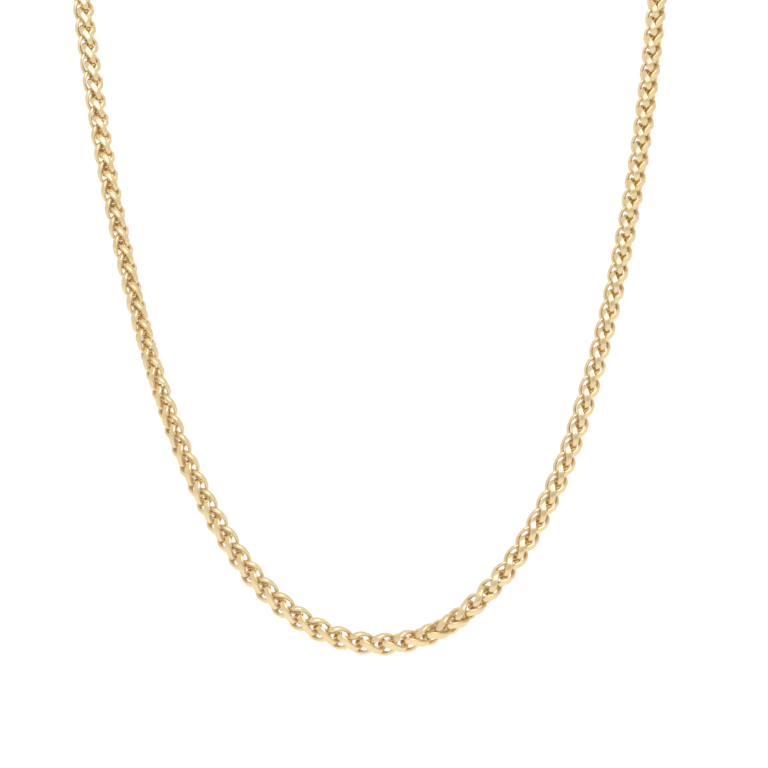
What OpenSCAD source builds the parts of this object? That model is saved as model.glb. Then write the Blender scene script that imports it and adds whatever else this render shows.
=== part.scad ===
// Wheat chain necklace: a closed loop as worn, with its clasp at the nape.
// The nape of the neck is the origin, the front faces -Y and +Z is up.

/* [Chain] */
// Outer diameter of the round chain
chain_d = 3.15; // [2.6:0.05:3.6]
// Wire diameter of the links
wire_d = 0.66; // [0.5:0.02:0.8]
// Height of the last link's open end, between the middles of its legs
eye_h = 2.2; // [2:0.05:2.4]
// Lean of the front of the loop, back from upright
front_lean = 23.5; // [20:0.5:26]

/* [End rings] */
// Outer diameter of an end ring
ring_d = 4.6; // [4.3:0.1:5.2]
// Wire diameter of an end ring
ring_wire_d = 0.8; // [0.6:0.05:0.9]

/* [Clasp] */
// Length of the clasp without its tail eye
clasp_l = 9; // [8:0.25:10.5]
// Height of the clasp across its arm and its back
clasp_h = 4.8; // [4.4:0.1:5.6]
// Thickness of the arm that hooks on the end ring
arm_d = 1.2; // [1:0.05:1.4]
// Thickness of the back, which houses the spring
back_d = 1.9; // [1.4:0.05:2.1]
// Outer diameter of the tail eye
tail_d = 3.3; // [3.1:0.1:3.8]
// Thickness of the tail eye
tail_wire_d = 0.9; // [0.8:0.05:1]
// Diameter of the thumb tab on the back
tab_d = 1; // [0.8:0.05:1.2]
// How far the thumb tab stands out
tab_h = 0.9; // [0.6:0.1:1.2]

/* [Fit] */
// Gap where one piece hooks through the next
hook_gap = 0.1; // [0.06:0.01:0.14]
// Gap between an end ring and the round end of the chain
face_gap = 0.3; // [0.2:0.05:0.4]

/* [Hidden] */
$fn = 48;
gold = [0.90, 0.76, 0.48];

// The chain lies against the neck at the origin, so its middle is half its thickness behind.
back_y = chain_d / 2;

// Along the nape, from the clasp to the chain, each piece hooked in the last
arm_x = (clasp_l - arm_d) / 2;
hook_x = arm_x - arm_d / 2 - hook_gap - ring_wire_d / 2;
ring_r = (ring_d - ring_wire_d) / 2;
ring_right_x = hook_x + ring_r;
tail_r = (tail_d - tail_wire_d) / 2;
tail_x = -(clasp_l - arm_d) / 2 - tail_r;
ring_left_x = tail_x - tail_r + tail_wire_d / 2 + hook_gap + ring_wire_d / 2 - ring_r;
eye_reach = ring_r - (ring_wire_d + wire_d) / 2 - hook_gap;
face_reach = ring_r + ring_wire_d / 2 + face_gap;
chain_end_right = ring_right_x + face_reach;
chain_end_left = ring_left_x - face_reach;

// Route of the chain, from the clasp down the +X side, round the front and back up.
// Points at the back are [x, y, z]. Points of the front lie in one leaning plane,
// as [x, height up the plane] above its foot.
front_foot = [0, -102, -129.5];
back_right = [
    [20, 0.6, 0], [30.5, -3, -0.2], [39, -9.5, -1], [45, -18.5, -2.5],
    [47.6, -29, -5], [47.6, -39.5, -9], [46.4, -48.5, -15.5], [44.8, -55.5, -24.5]
];
front = [
    [43.3, 102.5], [41.7, 90], [39.7, 77.5], [37.3, 65], [34.7, 53], [31.6, 40.5], [27.4, 27.5],
    [22.3, 17], [16.5, 8.8], [9.2, 2.5], [0.6, 0.2], [-8, 2.5], [-15.5, 8.5], [-21.5, 17],
    [-26.8, 27.8], [-31.6, 41], [-35.2, 53.5], [-38.1, 65.5], [-40.6, 77.5], [-42.8, 90],
    [-44.7, 102.5]
];
back_left = [
    [-45.8, -55.5, -24.5], [-46.8, -48.5, -15.5], [-47.6, -39.5, -9], [-47.6, -29, -5],
    [-45, -18.5, -2.5], [-39, -9.5, -1], [-30.5, -3, -0.2], [-20, 0.6, 0]
];
front_points = [
    for (p = front) front_foot + [p[0], p[1] * sin(front_lean), p[1] * cos(front_lean)]
];
route = concat(
    [[chain_end_right, back_y, 0]], back_right, front_points, back_left,
    [[chain_end_left, back_y, 0]]
);

// The tube that the links fill
tube_sides = 8;
steps = 2;
lean_normal = [0, -cos(front_lean), sin(front_lean)];

function unit(v) = v / norm(v);

// Neighbour i of the route, carried on straight along the nape past either end
function neighbour(i) =
    i < 0 ? [2 * route[0][0] - route[1][0], back_y, 0] :
    i >= len(route) ? [2 * route[len(route) - 1][0] - route[len(route) - 2][0], back_y, 0] :
    route[i];

// Smooth curve through b and c, at share t of the way
function between(a, b, c, d, t) =
    0.5 * (2 * b + (c - a) * t + (2 * a - 5 * b + 4 * c - d) * t * t
        + (3 * b - a - 3 * c + d) * t * t * t);

curve = concat(
    [for (i = [0 : len(route) - 2]) for (j = [0 : steps - 1])
        between(neighbour(i - 1), route[i], route[i + 1], neighbour(i + 2), j / steps)],
    [route[len(route) - 1]]
);

function heading(i) =
    i == 0 ? [1, 0, 0] :
    i == len(curve) - 1 ? [1, 0, 0] :
    unit(curve[i + 1] - curve[i - 1]);

// One ring of the tube's points, square to the heading, with its flats at the chain's diameter
function tube_ring(i) =
    let (side = unit(cross(heading(i), lean_normal)), up = cross(side, heading(i)))
    [for (k = [0 : tube_sides - 1])
        let (a = 360 * (k + 0.5) / tube_sides)
        curve[i] + chain_d / 2 / cos(180 / tube_sides) * (cos(a) * side + sin(a) * up)];

module tube() {
    last = len(curve) - 1;
    polyhedron(
        points = [for (i = [0 : last]) each tube_ring(i)],
        faces = concat(
            [[for (k = [tube_sides - 1 : -1 : 0]) k]],
            [for (i = [0 : last - 1]) for (k = [0 : tube_sides - 1])
                let (a = i * tube_sides + k, b = i * tube_sides + (k + 1) % tube_sides)
                each [[a, b, b + tube_sides], [a, b + tube_sides, a + tube_sides]]],
            [[for (k = [0 : tube_sides - 1]) last * tube_sides + k]]
        ),
        convexity = 10
    );
}

// A round wire ring in the XY plane
module wire_ring(r, wire) {
    rotate_extrude() translate([r, 0]) circle(d = wire);
}

// The open end of the last link, which stands out of the chain's round end
module end_eye(x, toward) {
    translate([x + toward * (eye_reach + eye_h / 2), back_y, 0])
        rotate([90, 0, 0]) wire_ring(eye_h / 2, wire_d);
}

module chain() color(gold) {
    tube();
    end_eye(ring_right_x, 1);
    end_eye(ring_left_x, -1);
}

module end_ring_left() color(gold)
    translate([ring_left_x, back_y, 0]) wire_ring(ring_r, ring_wire_d);

module end_ring_right() color(gold)
    translate([ring_right_x, back_y, 0]) wire_ring(ring_r, ring_wire_d);

// Half a ring of bar in the XZ plane, bulging to +X
module bend(r, bar) {
    rotate([90, 0, 0]) rotate([0, 0, -90])
        rotate_extrude(angle = 180) translate([r, 0]) circle(d = bar);
}

module clasp() color(gold) {
    arm_r = (clasp_h - arm_d) / 2;
    straight = arm_x - arm_r;
    back_z = (clasp_h - back_d) / 2;
    translate([0, back_y, 0]) {
        translate([straight, 0, 0]) bend(arm_r, arm_d);
        mirror([1, 0, 0]) translate([straight, 0, 0]) bend(arm_r, arm_d);
        translate([-straight, 0, -arm_r]) rotate([0, 90, 0]) cylinder(d = arm_d, h = 2 * straight);
        translate([-straight, 0, back_z]) rotate([0, 90, 0]) cylinder(d = back_d, h = 2 * straight);
        translate([-straight, 0, back_z]) sphere(d = back_d);
        translate([straight, 0, back_z]) sphere(d = back_d);
        translate([straight / 2, 0, back_z + back_d / 4]) cylinder(d = tab_d, h = back_d / 4 + tab_h);
        translate([tail_x, 0, 0]) rotate([90, 0, 0]) wire_ring(tail_r, tail_wire_d);
    }
}

chain();
end_ring_left();
end_ring_right();
clasp();
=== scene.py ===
import math

import bpy
import numpy as np
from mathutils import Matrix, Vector


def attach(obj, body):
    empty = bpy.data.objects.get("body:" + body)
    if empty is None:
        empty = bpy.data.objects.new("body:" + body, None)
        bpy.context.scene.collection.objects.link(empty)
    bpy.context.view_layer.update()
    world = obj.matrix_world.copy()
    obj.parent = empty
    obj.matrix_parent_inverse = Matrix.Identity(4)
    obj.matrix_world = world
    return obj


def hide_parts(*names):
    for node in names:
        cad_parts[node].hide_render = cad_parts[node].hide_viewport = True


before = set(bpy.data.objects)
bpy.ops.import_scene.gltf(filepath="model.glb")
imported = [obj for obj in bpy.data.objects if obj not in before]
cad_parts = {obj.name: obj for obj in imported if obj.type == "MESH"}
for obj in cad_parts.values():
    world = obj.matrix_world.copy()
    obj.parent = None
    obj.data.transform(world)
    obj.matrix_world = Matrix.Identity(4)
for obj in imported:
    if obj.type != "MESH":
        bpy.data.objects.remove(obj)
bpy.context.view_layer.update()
mm = 0.001

# The photo's camera, level and 0.4 m in front of the loop
photoCamera = {
    "place": (1.4 * mm, -502 * mm, -93.07 * mm), "turn": (90, 0, 0), "lens": 134.72, "sensor": 36,
    "near": 0.01, "far": 100,
}

# Route of the chain in mm, the solid's own to within 0.2 mm: from the clasp down the +X side, round
# the front, whose points are (across, up) in a plane that leans back from its foot, and back up
route = {
    "startX": 7.3, "endX": -9.85, "backY": 1.575, "lean": 23.5, "foot": (0, -101.85, -129.5), "steps": 12,
    "backRight": [
        (20, 0.6, 0), (30.5, -3, -0.2), (39, -9.5, -1), (45, -18.5, -2.5),
        (47.6, -29, -5), (47.6, -39.5, -9), (46.4, -48.5, -15.5), (44.8, -55.5, -24.5)],
    "front": [
        (43.2, 102.5), (41.6, 90), (39.75, 77.5), (37.42, 65), (34.8, 53), (31.5, 40.5), (27.32, 27.5),
        (22.36, 16.9), (16.56, 8.6), (9.2, 2.35), (0.6, 0.2), (-8, 2.5), (-15.5, 8.5), (-21.5, 17),
        (-26.85, 27.8), (-31.62, 41), (-35.2, 53.5), (-38.1, 65.5), (-40.6, 77.5), (-42.8, 90),
        (-44.7, 102.5)],
    "backLeft": [
        (-45.8, -55.5, -24.5), (-46.8, -48.5, -15.5), (-47.5, -39.5, -9), (-47.5, -29, -5),
        (-45, -18.5, -2.5), (-39, -9.5, -1), (-30.5, -3, -0.2), (-20, 0.6, 0)],
    # How far the chain has turned about itself, as (mm along the route, degrees)
    "turn": [
        (0, 120), (60, 138), (103, 148), (122, 152), (132, 155), (142, 158), (152, 164), (162, 169),
        (171, 173), (180, 175), (189, 178), (198, 174), (207, 158), (215, 140), (224, 133), (233, 126),
        (242, 120), (250, 122), (260, 124), (270, 128), (280, 137), (290, 146), (300, 152), (310, 158),
        (320, 167), (330, 178), (340, 186), (380, 198), (439, 208)],
    # Play between the links lets them sit a little back towards the route's start, as (mm along it, mm)
    "slip": [
        (0, 0), (60, 0), (103, -0.25), (122, -0.37), (142, -0.4), (160, -0.5), (180, -0.5),
        (200, -0.38), (225, -0.44), (240, -0.46), (260, -0.38), (275, -0.28), (290, -0.28),
        (315, -0.32), (340, -0.17), (380, -0.1), (439, 0)],
    # The links sit wider round the bottom and high up the +X side, as (mm along the route, share)
    "spread": [
        (0, 1), (60, 1), (105, 1.07), (127, 1.06), (142, 1.04), (158, 1), (190, 1.01), (206, 1.07),
        (222, 1.11), (237, 1.1), (253, 1.05), (269, 1.02), (285, 1), (439, 1)],
}


def routeCurve():
    lean = math.radians(route["lean"])
    foot = Vector(route["foot"])
    front = [foot + Vector((x, up * math.sin(lean), up * math.cos(lean))) for x, up in route["front"]]
    points = [Vector((route["startX"], route["backY"], 0))]
    points += [Vector(p) for p in route["backRight"]] + front + [Vector(p) for p in route["backLeft"]]
    points.append(Vector((route["endX"], route["backY"], 0)))
    first = Vector((2 * points[0].x - points[1].x, route["backY"], 0))
    last = Vector((2 * points[-1].x - points[-2].x, route["backY"], 0))
    around = [first] + points + [last]
    curve = []
    for i in range(len(points) - 1):
        a, b, c, d = around[i:i + 4]
        for step in range(route["steps"]):
            t = step / route["steps"]
            curve.append(0.5 * (2 * b + (c - a) * t + (2 * a - 5 * b + 4 * c - d) * t * t
                                + (3 * b - a - 3 * c + d) * t ** 3))
    curve.append(points[-1])
    return np.array([list(p) for p in curve]) * mm


def meshObject(name, points, edges, faces, smooth=True):
    mesh = bpy.data.meshes.new(name)
    mesh.from_pydata([tuple(p) for p in points], edges, faces)
    mesh.polygons.foreach_set("use_smooth", [smooth] * len(mesh.polygons))
    mesh.update()
    piece = bpy.data.objects.new(name, mesh)
    bpy.context.scene.collection.objects.link(piece)
    return piece


def distances(points):
    return np.r_[0, np.cumsum(np.linalg.norm(np.diff(points, axis=0), axis=1))]


def routeObject():
    points = routeCurve()
    piece = meshObject("chain_route", points, [(i, i + 1) for i in range(len(points) - 1)], [])
    along = distances(points)
    for label, unit in (("turn", math.radians(1)), ("slip", mm), ("spread", 1)):
        stations, values = zip(*route[label])
        values = np.interp(along / mm, stations, values) * unit
        piece.data.attributes.new(label, "FLOAT", "POINT").data.foreach_set("value", values)
    return piece, along[-1]


# One wheat link: a long wire oval, twisted about its length from end to end and pressed flat outside.
# Its ends are rounder than its two legs. Pairs are for the end towards the route's start and the other.
link = {
    "chainWidth": 3.15 * mm, "wire": 0.72 * mm, "twist": 49, "middle": -10, "lean": 11,
    "taper": -0.09, "belly": -0.25, "ease": 1.7,
    "legWide": 0.88 * mm, "legThick": 0.46 * mm, "endWide": 0.68 * mm, "endThick": 0.50 * mm,
    "endSquare": (0.55, 1), "legSquare": (0.45, 1.05), "section": (0.72, 0.55),
    "segments": 18, "lengthen": 1.015, "crisp": 0.45,
}


# The wire's middle at even steps round the link, its two directions there and its half width and height
def linkPath(hand, startTurn, swell):
    halfLength = (link["chainWidth"] + link["wire"]) / 2 * link["lengthen"]
    legReach = (link["chainWidth"] - link["legThick"]) / 2

    def centre(t):
        c, s = np.cos(t), np.sin(t)
        share = np.sign(c) * np.abs(c) ** np.where(c > 0, *link["endSquare"])
        reach = legReach * np.sign(s) * np.abs(s) ** np.where(c > 0, *link["legSquare"])
        reach *= 1 + link["taper"] * share + link["belly"] * share ** 2
        turn = link["twist"] * share + link["middle"] * (1 - share ** 2)
        angle = startTurn - hand * np.radians(turn)
        flat = np.stack([0 * share, -np.sin(angle), np.cos(angle)], 1)
        place = np.stack([halfLength * share, reach * np.cos(angle), reach * np.sin(angle)], 1)
        return place, flat, reach / legReach

    fine = np.linspace(0, 2 * math.pi, 2001)
    run = distances(centre(fine)[0])
    t = np.interp(np.arange(link["segments"]) * run[-1] / link["segments"], run, fine)
    place, flat, leg = centre(t)
    step = 0.001
    ahead = centre(t + step)[0] - centre(t - step)[0]
    ahead /= np.linalg.norm(ahead, axis=1)[:, None]
    flat -= (flat * ahead).sum(1)[:, None] * ahead
    flat /= np.linalg.norm(flat, axis=1)[:, None]
    outward = np.cross(ahead, flat)
    # The pressed faces lean over, both legs' the same way round the chain
    tilt = np.radians(link["lean"]) * hand * leg[:, None]
    flat, outward = flat * np.cos(tilt) + outward * np.sin(tilt), outward * np.cos(tilt) - flat * np.sin(tilt)
    share = np.clip(np.abs(leg[:, None]), 0, 1) ** link["ease"]
    wide = (link["endWide"] + (link["legWide"] - link["endWide"]) * share) / 2 * swell
    thick = (link["endThick"] + (link["legThick"] - link["endThick"]) * share) / 2 * swell
    return place, flat, outward, wide, thick


def linkObject(name, hand, startTurn, swell):
    place, flat, outward, wide, thick = linkPath(hand, startTurn, swell)
    broad, edge = link["section"]
    quarter = [(broad, 1), (1, edge), (1, -edge), (broad, -1)]
    section = quarter + [(-side, rise) for side, rise in reversed(quarter)]
    sides = len(section)
    points, hollow = [], []
    for i in range(link["segments"]):
        for side, rise in section:
            points.append(place[i] + flat[i] * side * wide[i] + outward[i] * rise * thick[i])
            hollow.append((1 - rise) / 2)
    faces = []
    for i in range(link["segments"]):
        j = (i + 1) % link["segments"]
        for k in range(sides):
            m = (k + 1) % sides
            faces.append((i * sides + k, j * sides + k, j * sides + m, i * sides + m))
    made = meshObject(name, points, [], faces)
    # 1 on the side of the wire that faces into its own link, 0 on the polished outside
    made.data.attributes.new("hollow", "FLOAT", "POINT").data.foreach_set("value", hollow)
    # The pressed faces meet in edges that stay crisp when the mesh is rounded
    lengthwise = [abs(a - b) >= sides for a, b in made.data.edge_keys]
    crease = made.data.attributes.new("crease_edge", "FLOAT", "EDGE")
    crease.data.foreach_set("value", [link["crisp"] * along for along in lengthwise])
    return made


# A tree that seats links one after another along a route, each second one its own mirror
def linkTree():
    tree = bpy.data.node_groups.new("wheat links", "GeometryNodeTree")
    tree.is_modifier = True
    wanted = [
        ("Route", "NodeSocketGeometry"), ("Even Link", "NodeSocketObject"), ("Odd Link", "NodeSocketObject"),
        ("First Seat", "NodeSocketFloat"), ("Pitch", "NodeSocketFloat"), ("First Link", "NodeSocketInt"),
        ("Links", "NodeSocketInt"), ("Facing", "NodeSocketVector"), ("Gold", "NodeSocketMaterial"),
        ("Seed", "NodeSocketInt")]
    for label, kind in wanted:
        tree.interface.new_socket(name=label, in_out="INPUT", socket_type=kind)
    tree.interface.new_socket(name="Chain", in_out="OUTPUT", socket_type="NodeSocketGeometry")
    given = tree.nodes.new("NodeGroupInput")

    def add(kind, **settings):
        node = tree.nodes.new(kind)
        for key, value in settings.items():
            setattr(node, key, value)
        return node

    def join(source, node, socket):
        tree.links.new(source, node.inputs[socket])

    def maths(operation, a, b):
        node = add("ShaderNodeMath", operation=operation)
        for socket, value in ((0, a), (1, b)):
            if isinstance(value, (int, float)):
                node.inputs[socket].default_value = value
            else:
                join(value, node, socket)
        return node.outputs[0]

    # The seats: one point for each link, numbered along the whole chain
    line = add("GeometryNodeMeshToCurve")
    join(given.outputs["Route"], line, "Mesh")
    seats = add("GeometryNodeMeshLine")
    join(given.outputs["Links"], seats, "Count")
    number = maths("ADD", add("GeometryNodeInputIndex").outputs[0], given.outputs["First Link"])
    order = add("GeometryNodeInputIndex").outputs[0]
    along = maths("ADD", maths("MULTIPLY", order, given.outputs["Pitch"]), given.outputs["First Seat"])

    def sample(label, distance):
        value = add("GeometryNodeInputNamedAttribute", data_type="FLOAT")
        value.inputs["Name"].default_value = label
        found = add("GeometryNodeSampleCurve", data_type="FLOAT", mode="LENGTH")
        join(line.outputs["Curve"], found, "Curves")
        join(value.outputs["Attribute"], found, "Value")
        join(distance, found, "Length")
        return found

    # Each link is widened across the route, moved along it by its slip, and turned about it
    breadth = add("ShaderNodeCombineXYZ")
    breadth.inputs["X"].default_value = 1
    spread = sample("spread", along).outputs["Value"]
    join(spread, breadth, "Y")
    join(spread, breadth, "Z")
    spot = sample("turn", maths("ADD", along, sample("slip", along).outputs["Value"]))
    placed = add("GeometryNodeSetPosition")
    join(seats.outputs["Mesh"], placed, "Geometry")
    join(spot.outputs["Position"], placed, "Position")
    backwards = add("ShaderNodeVectorMath", operation="SCALE")
    join(spot.outputs["Tangent"], backwards, 0)
    backwards.inputs["Scale"].default_value = -1
    level = add("FunctionNodeAxesToRotation", primary_axis="X", secondary_axis="Y")
    join(backwards.outputs[0], level, "Primary Axis")
    join(given.outputs["Facing"], level, "Secondary Axis")
    twist = add("FunctionNodeAxisAngleToRotation")
    twist.inputs["Axis"].default_value = (1, 0, 0)
    join(spot.outputs["Value"], twist, "Angle")
    turned = add("FunctionNodeRotateRotation", rotation_space="LOCAL")
    join(level.outputs[0], turned, 0)
    join(twist.outputs[0], turned, 1)
    # A tone of its own for each link
    tone = add("FunctionNodeRandomValue", data_type="FLOAT")
    join(given.outputs["Seed"], tone, "Seed")
    toned = add("GeometryNodeStoreNamedAttribute", data_type="FLOAT", domain="POINT")
    toned.inputs["Name"].default_value = "tone"
    join(placed.outputs[0], toned, "Geometry")
    join(tone.outputs[1], toned, "Value")
    odd = maths("MODULO", number, 2)
    even = maths("SUBTRACT", 1, odd)
    both = add("GeometryNodeJoinGeometry")
    for shape, chosen in (("Even Link", even), ("Odd Link", odd)):
        source = add("GeometryNodeObjectInfo")
        join(given.outputs[shape], source, "Object")
        copies = add("GeometryNodeInstanceOnPoints")
        join(toned.outputs[0], copies, "Points")
        join(chosen, copies, "Selection")
        join(source.outputs["Geometry"], copies, "Instance")
        join(turned.outputs[0], copies, "Rotation")
        join(breadth.outputs[0], copies, "Scale")
        join(copies.outputs[0], both, "Geometry")
    real = add("GeometryNodeRealizeInstances")
    join(both.outputs[0], real, "Geometry")
    gold = add("GeometryNodeSetMaterial")
    join(real.outputs[0], gold, "Geometry")
    join(given.outputs["Gold"], gold, "Material")
    made = tree.nodes.new("NodeGroupOutput")
    join(gold.outputs[0], made, "Chain")
    return tree


# One chain in six stretches. The front ones hang at their full pitch, the hidden ones a hair closer.
chain = {
    "links": 280, "frontFirst": 62, "frontLinks": 158, "firstSeat": 0.375, "frontSeat": 97.65, "seed": 7,
    "stretches": [  # name, first link, links, rounding, swell of the wire
        ("chain_back_right", 0, 62, 1, 1), ("chain_front_right", 62, 40, 2, 1),
        ("chain_low_right", 102, 39, 2, 0.98), ("chain_low_left", 141, 39, 2, 0.98),
        ("chain_front_left", 180, 40, 2, 1.08), ("chain_back_left", 220, 60, 1, 1)],
}


def chainPieces(gold):
    pitch = link["chainWidth"] / 2
    lean = math.radians(route["lean"])
    guide, length = routeObject()
    tree = linkTree()
    names = {item.name: item.identifier for item in tree.interface.items_tree if item.in_out == "INPUT"}
    frontSeat, rightSeat = chain["frontSeat"] * mm, chain["firstSeat"] * mm
    frontFirst, frontAfter = chain["frontFirst"], chain["frontFirst"] + chain["frontLinks"]
    rightPitch = (frontSeat - rightSeat) / frontFirst
    leftSeat = frontSeat + (chain["frontLinks"] - 1) * pitch
    leftPitch = (length - rightSeat - leftSeat) / (chain["links"] - frontAfter)
    print("pitches", rightPitch / mm, pitch / mm, leftPitch / mm)
    pieces = []
    for name, first, count, rounding, swell in chain["stretches"]:
        evenLink = linkObject("even_link", 1, 0, swell)
        oddLink = linkObject("odd_link", -1, math.pi / 2, swell)
        seat, step = frontSeat + (first - frontFirst) * pitch, pitch
        if first < frontFirst:
            seat, step = rightSeat + first * rightPitch, rightPitch
        if first >= frontAfter:
            seat, step = leftSeat + (first - frontAfter + 1) * leftPitch, leftPitch
        host = bpy.data.objects.new(name + "_guide", guide.data)
        bpy.context.scene.collection.objects.link(host)
        modifier = host.modifiers.new("links", "NODES")
        modifier.node_group = tree
        for label, value in (
                ("Even Link", evenLink), ("Odd Link", oddLink), ("First Seat", seat), ("Pitch", step),
                ("First Link", first), ("Links", count), ("Gold", gold), ("Seed", chain["seed"]),
                ("Facing", (0, math.cos(lean), -math.sin(lean)))):
            modifier[names[label]] = value
        bpy.context.view_layer.update()
        shape = bpy.data.meshes.new_from_object(host.evaluated_get(bpy.context.evaluated_depsgraph_get()))
        piece = bpy.data.objects.new(name, shape)
        shape.name = name
        bpy.context.scene.collection.objects.link(piece)
        for spare in (host, evenLink, oddLink):
            bpy.data.objects.remove(spare)
        smooth = piece.modifiers.new("smooth", "SUBSURF")
        smooth.levels = smooth.render_levels = rounding
        pieces.append(piece)
    bpy.data.objects.remove(guide)
    return pieces


def material(name):
    made = bpy.data.materials.new(name)
    made.use_nodes = True
    return made, made.node_tree, made.node_tree.nodes["Principled BSDF"]


# Yellow gold: a bright polish with faint burnishing marks, duller inside the links. Patches and marks
# are noises, as (scale, detail), and each link's own tone has a share in how deep its colour is.
goldFinish = {
    "light": (0.84, 0.68, 0.40), "deep": (0.79, 0.61, 0.33), "patches": (900, 4), "toneShare": 0.45,
    "rough": (0.17, 0.28), "hollowTint": (0.85, 0.67, 0.40), "hollowRough": 0.62,
    "marks": (5200, 3), "markDepth": 0.004 * mm, "markStrength": 0.35,
}


def goldMaterial(name, linked):
    made, tree, shader = material(name)
    shader.inputs["Metallic"].default_value = 1

    def blend(factor, a, b, kind="FLOAT"):
        node = tree.nodes.new("ShaderNodeMix")
        node.data_type = kind
        sockets = {socket.identifier: socket for socket in node.inputs}
        ending = "Color" if kind == "RGBA" else "Float"
        for socket, value in (("Factor_Float", factor), ("A_" + ending, a), ("B_" + ending, b)):
            if isinstance(value, bpy.types.NodeSocket):
                tree.links.new(value, sockets[socket])
            else:
                sockets[socket].default_value = value
        return next(out for out in node.outputs if out.identifier == "Result_" + ending)

    def noise(scale, detail):
        node = tree.nodes.new("ShaderNodeTexNoise")
        node.inputs["Scale"].default_value = scale
        node.inputs["Detail"].default_value = detail
        tree.links.new(where.outputs["Object"], node.inputs["Vector"])
        return node.outputs["Fac"]

    where = tree.nodes.new("ShaderNodeTexCoord")
    patches = noise(*goldFinish["patches"])
    shade, polish = patches, tree.nodes.new("ShaderNodeMapRange")
    polish.inputs["To Min"].default_value, polish.inputs["To Max"].default_value = goldFinish["rough"]
    tree.links.new(patches, polish.inputs["Value"])
    rough = polish.outputs[0]
    if linked:
        tone, hollow = tree.nodes.new("ShaderNodeAttribute"), tree.nodes.new("ShaderNodeAttribute")
        tone.attribute_name, hollow.attribute_name = "tone", "hollow"
        shade = blend(goldFinish["toneShare"], patches, tone.outputs["Fac"])
    tint = blend(shade, (*goldFinish["light"], 1), (*goldFinish["deep"], 1), "RGBA")
    if linked:
        tint = blend(hollow.outputs["Fac"], tint, (*goldFinish["hollowTint"], 1), "RGBA")
        rough = blend(hollow.outputs["Fac"], rough, goldFinish["hollowRough"])
    tree.links.new(tint, shader.inputs["Base Color"])
    tree.links.new(rough, shader.inputs["Roughness"])
    marks = tree.nodes.new("ShaderNodeBump")
    marks.inputs["Strength"].default_value = goldFinish["markStrength"]
    marks.inputs["Distance"].default_value = goldFinish["markDepth"]
    tree.links.new(noise(*goldFinish["marks"]), marks.inputs["Height"])
    tree.links.new(marks.outputs["Normal"], shader.inputs["Normal"])
    return made


def makeCamera():
    data = bpy.data.cameras.new("photo_camera")
    camera = bpy.data.objects.new("photo_camera", data)
    bpy.context.scene.collection.objects.link(camera)
    camera.location = photoCamera["place"]
    camera.rotation_euler = [math.radians(a) for a in photoCamera["turn"]]
    data.sensor_width, data.lens = photoCamera["sensor"], photoCamera["lens"]
    data.clip_start, data.clip_end = photoCamera["near"], photoCamera["far"]
    bpy.context.scene.camera = camera


# A light tent with a dimmer side at the camera, a wide lamp overhead and a small softbox above the front.
# The dimmer side is a round patch of the tent, in degrees, and "shown" is the tent that the camera sees.
studio = {
    "tent": 0.92, "shown": 1.05,
    "panel": {"toward": (0.1, -1, 0.05), "reach": 32, "soft": 24, "level": 0.70},
    "lamp": {"turn": (30, 10, 0), "width": 40, "strength": 0.7},
    "softbox": {"place": (0, -150 * mm, 15 * mm), "turn": (18, 0, 0), "size": 75 * mm, "watts": 0.04},
    "floor": {"height": -160 * mm, "reach": 6, "tint": (0.96, 0.96, 0.96, 1), "rough": 0.8},
}


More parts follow.
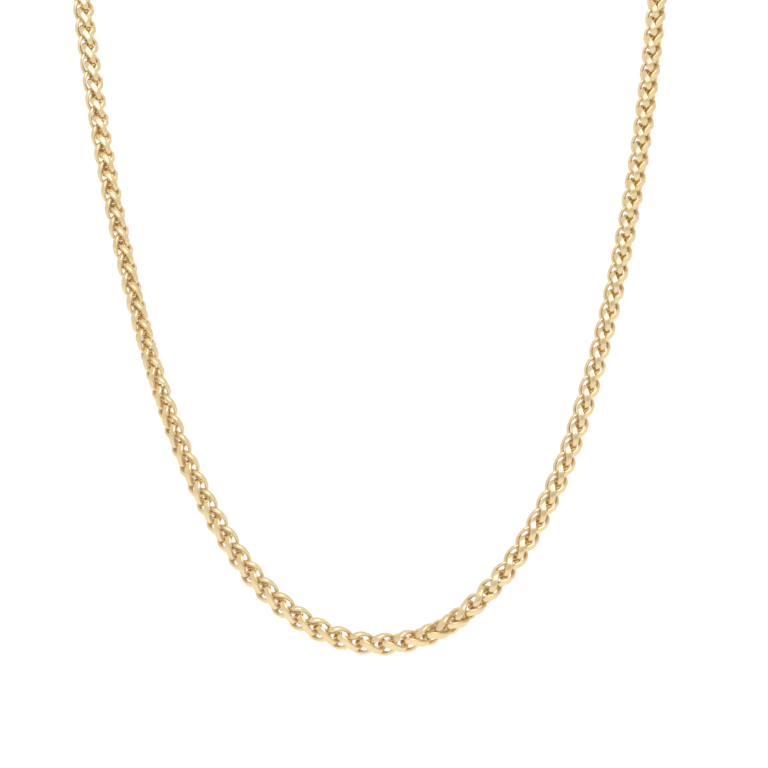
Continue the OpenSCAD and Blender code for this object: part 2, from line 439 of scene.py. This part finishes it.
def makeTent():
    world = bpy.data.worlds.new("light_tent")
    bpy.context.scene.world = world
    world.use_nodes = True
    tree, panel = world.node_tree, studio["panel"]
    tent = tree.nodes["Background"]
    tent.inputs["Color"].default_value = (1, 1, 1, 1)

    def mix(factor, a, b):
        node = tree.nodes.new("ShaderNodeMix")
        tree.links.new(factor, node.inputs["Factor"])
        node.inputs["A"].default_value, node.inputs["B"].default_value = a, b
        return node

    facing = tree.nodes.new("ShaderNodeVectorMath")
    facing.operation = "DOT_PRODUCT"
    facing.inputs[1].default_value = Vector(panel["toward"]).normalized()
    tree.links.new(tree.nodes.new("ShaderNodeTexCoord").outputs["Generated"], facing.inputs[0])
    edge = tree.nodes.new("ShaderNodeMapRange")
    edge.interpolation_type = "SMOOTHSTEP"
    for socket, soft in (("From Min", panel["soft"]), ("From Max", -panel["soft"])):
        edge.inputs[socket].default_value = math.cos(math.radians(panel["reach"] + soft))
    tree.links.new(facing.outputs["Value"], edge.inputs["Value"])
    level = mix(edge.outputs[0], studio["tent"], panel["level"])
    seen = tree.nodes.new("ShaderNodeLightPath").outputs["Is Camera Ray"]
    shown = mix(seen, 0, studio["shown"])
    tree.links.new(level.outputs[0], shown.inputs["A"])
    tree.links.new(shown.outputs[0], tent.inputs["Strength"])


def addLight(name, kind, turn, energy):
    light = bpy.data.lights.new(name, kind)
    light.energy = energy
    holder = bpy.data.objects.new(name, light)
    bpy.context.scene.collection.objects.link(holder)
    holder.rotation_euler = [math.radians(a) for a in turn]
    holder.visible_camera = False
    return holder


def makeStudio():
    bpy.context.scene.view_settings.view_transform = "Standard"
    makeTent()
    lamp, softbox, ground = studio["lamp"], studio["softbox"], studio["floor"]
    addLight("overhead_lamp", "SUN", lamp["turn"], lamp["strength"]).data.angle = math.radians(lamp["width"])
    box = addLight("softbox", "AREA", softbox["turn"], softbox["watts"])
    box.data.size, box.location = softbox["size"], softbox["place"]
    reach, height = ground["reach"], ground["height"]
    corners = [(x * reach, y * reach, height) for x, y in ((-1, -1), (1, -1), (1, 1), (-1, 1))]
    floor = meshObject("floor", corners, [], [(0, 1, 2, 3)], smooth=False)
    paint, tree, shader = material("pale_floor")
    shader.inputs["Base Color"].default_value = ground["tint"]
    shader.inputs["Roughness"].default_value = ground["rough"]
    floor.data.materials.append(paint)


makeCamera()
print("camera placed")
for piece in chainPieces(goldMaterial("chain_gold", linked=True)):
    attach(piece, "root")
    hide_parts("chain")
print("links seated")
ringGold, claspGold = goldMaterial("ring_gold", linked=False), goldMaterial("clasp_gold", linked=False)
for name, finish in (("end_ring_left", ringGold), ("end_ring_right", ringGold), ("clasp", claspGold)):
    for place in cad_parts[name].material_slots:
        place.material = finish
print("rings and clasp finished")
makeStudio()
print("studio lit")
